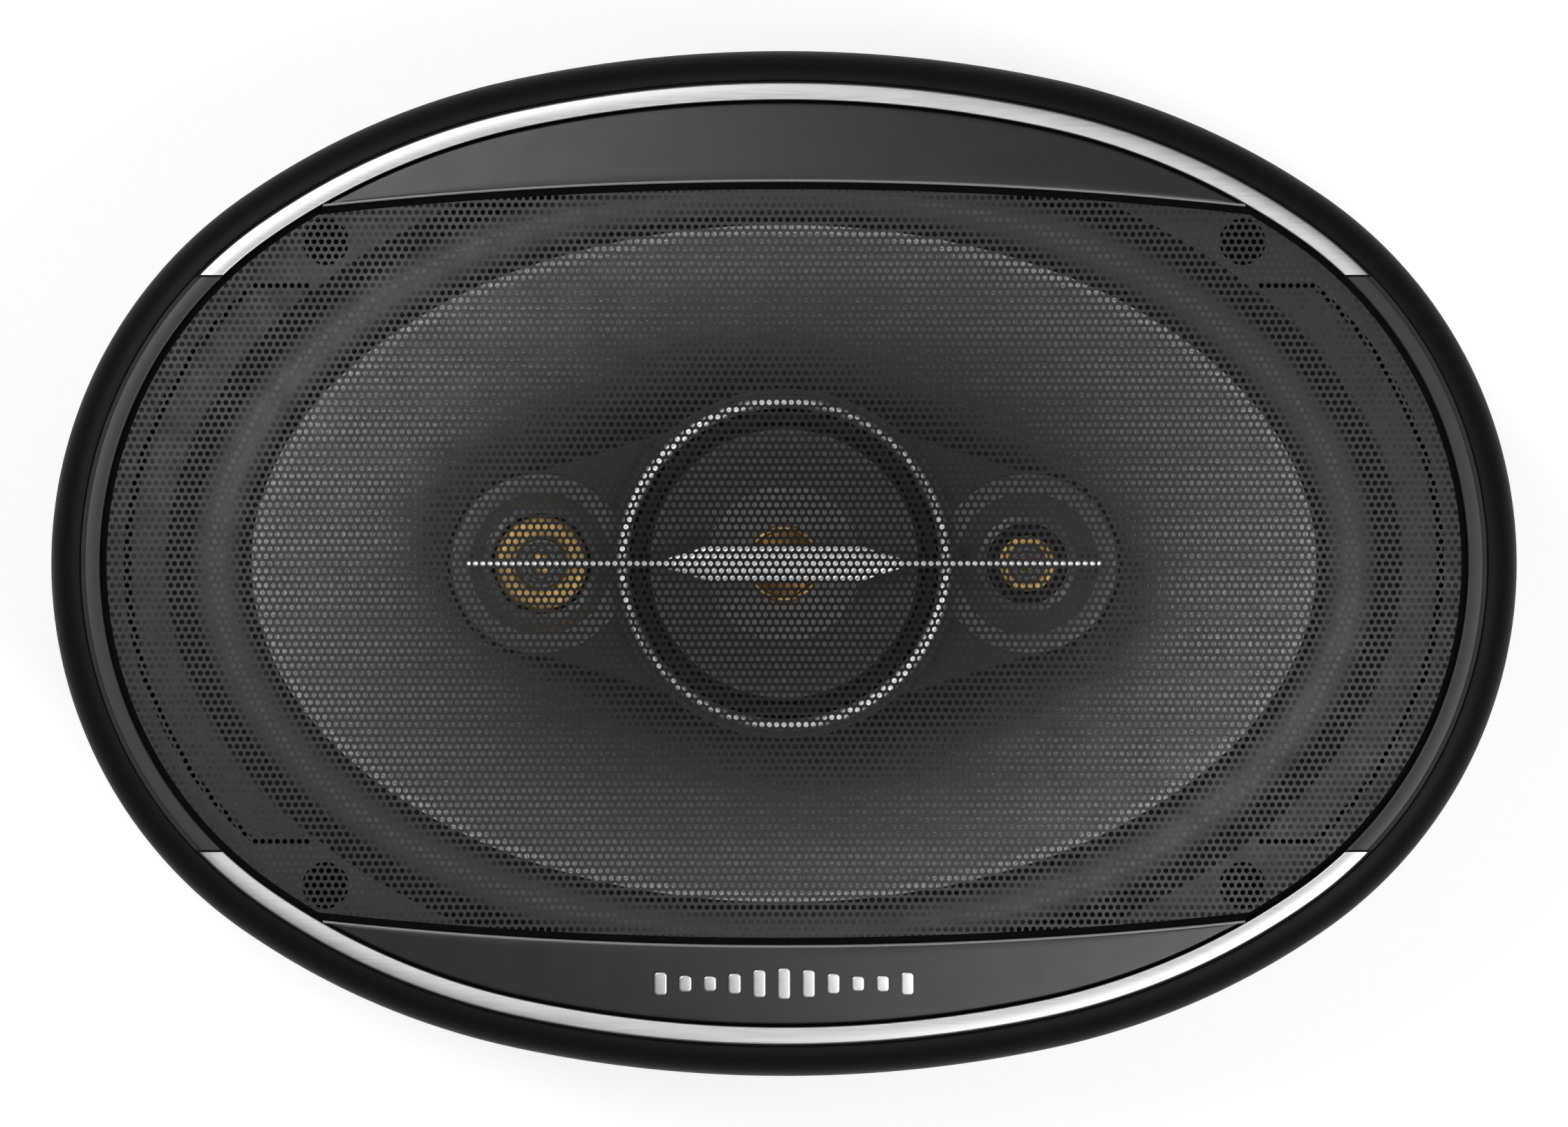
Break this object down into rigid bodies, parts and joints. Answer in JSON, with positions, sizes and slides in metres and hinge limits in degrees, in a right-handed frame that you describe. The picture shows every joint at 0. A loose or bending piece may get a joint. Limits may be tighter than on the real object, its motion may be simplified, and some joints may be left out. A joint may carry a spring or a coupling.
{
  "type": "coaxial car speaker",
  "caption": "Oval coaxial car speaker with its mesh grille fitted: woofer, centre midrange and two small tweeters on a bridge, with flange, motor and push-on terminals.",
  "frame": {"origin": "centre of the four mounting holes, on the rear face of the flange", "axes": "+X along the oval, +Y across it and away from the terminals, +Z out of the grille"},
  "size_m": [0.25, 0.1748, 0.0975],
  "materials": {
    "frame_black": "satin black coating on pressed steel",
    "zinc_steel": "bright zinc plate",
    "black_zinc": "black zinc plate",
    "ferrite": "ground ferrite, dark grey",
    "foam": "closed-cell foam",
    "rubber": "matte butyl rubber",
    "cone": "woven-look composite, dark grey",
    "spider_cloth": "resin-treated cotton weave",
    "former": "thin aluminium sleeve",
    "copper": "enamelled copper wire",
    "bridge_plastic": "fine-grained moulded plastic",
    "waveguide": "satin moulded plastic",
    "silver_trim": "bright satin silver",
    "mid_black": "matte black",
    "mid_cone": "dark grey pulp",
    "cap_grey": "matte grey",
    "gold": "gold-tinted film",
    "tin": "tinned brass",
    "braid": "tinsel braid",
    "block_plastic": "black nylon",
    "sleeve": "heat-shrink sleeve",
    "rim_black": "matte black moulded plastic",
    "bezel_grey": "satin dark grey paint",
    "mesh_black": "black painted perforated steel"
  },
  "bodies": {
    "root": {"basket": "frame_black", "flange_gasket": "foam", "surround": "rubber", "spider": "spider_cloth", "top_plate": "zinc_steel", "magnet": "ferrite", "back_plate": "zinc_steel", "basket_rivets": "zinc_steel", "terminal_block": "block_plastic", "terminal_positive": "tin", "terminal_negative": "tin", "terminal_rivet": "zinc_steel", "tinsel_lead_positive": "braid", "tinsel_lead_negative": "braid", "centre_post": "bridge_plastic", "post_bolt": "black_zinc", "bridge_housing": "bridge_plastic", "bridge_screws": "black_zinc", "mid_trim_ring": "silver_trim", "mid_top_plate": "zinc_steel", "mid_magnet": "ferrite", "mid_yoke": "zinc_steel", "mid_surround": "mid_black", "cross_bar": "silver_trim", "capacitors": "sleeve", "feed_leads": "sleeve", "tweeter_left_faceplate": "waveguide", "tweeter_left_carrier": "block_plastic", "tweeter_left_surround": "gold", "tweeter_left_top_plate": "zinc_steel", "tweeter_left_magnet": "ferrite", "tweeter_left_yoke": "zinc_steel", "tweeter_right_faceplate": "waveguide", "tweeter_right_carrier": "block_plastic", "tweeter_right_surround": "gold", "tweeter_right_top_plate": "zinc_steel", "tweeter_right_magnet": "ferrite", "tweeter_right_yoke": "zinc_steel"},
    "woofer": {"woofer_cone": "cone", "voice_coil_former": "former", "voice_coil_winding": "copper", "lead_eyelets": "tin"},
    "midrange": {"mid_cone": "mid_cone", "mid_dust_cap": "cap_grey", "mid_button": "gold", "mid_former": "former", "mid_winding": "copper"},
    "tweeter_left": {"tweeter_left_dome": "cap_grey", "tweeter_left_button": "gold", "tweeter_left_coil": "copper"},
    "tweeter_right": {"tweeter_right_dome": "cap_grey", "tweeter_right_button": "gold", "tweeter_right_coil": "copper"},
    "grille": {"grille_frame": "rim_black", "grille_bezel": "bezel_grey", "trim_arc_top": "silver_trim", "trim_arc_bottom": "silver_trim", "grille_mesh": "mesh_black", "mark": "silver_trim"}
  },
  "joints": [
    {"name": "woofer_travel", "type": "slide", "parent": "root", "child": "woofer", "axis": [0, 0, 1], "range_m": [-0.005, 0.005], "stiffness_N_per_m": 1800, "deforming": ["surround", "spider", "tinsel_lead_positive", "tinsel_lead_negative", "feed_leads"]},
    {"name": "midrange_travel", "type": "slide", "parent": "root", "child": "midrange", "axis": [0, 0, 1], "range_m": [-0.001, 0.001], "stiffness_N_per_m": 600, "deforming": ["mid_surround"]},
    {"name": "tweeter_left_travel", "type": "slide", "parent": "root", "child": "tweeter_left", "axis": [0, 0, 1], "range_m": [-0.0003, 0.0003], "stiffness_N_per_m": 100, "deforming": ["tweeter_left_surround"]},
    {"name": "tweeter_right_travel", "type": "slide", "parent": "root", "child": "tweeter_right", "axis": [0, 0, 1], "range_m": [-0.0003, 0.0003], "stiffness_N_per_m": 100, "deforming": ["tweeter_right_surround"]},
    {"name": "grille_release", "type": "slide", "parent": "root", "child": "grille", "axis": [0, 0, 1], "range_m": [0, 0.03]}
  ]
}
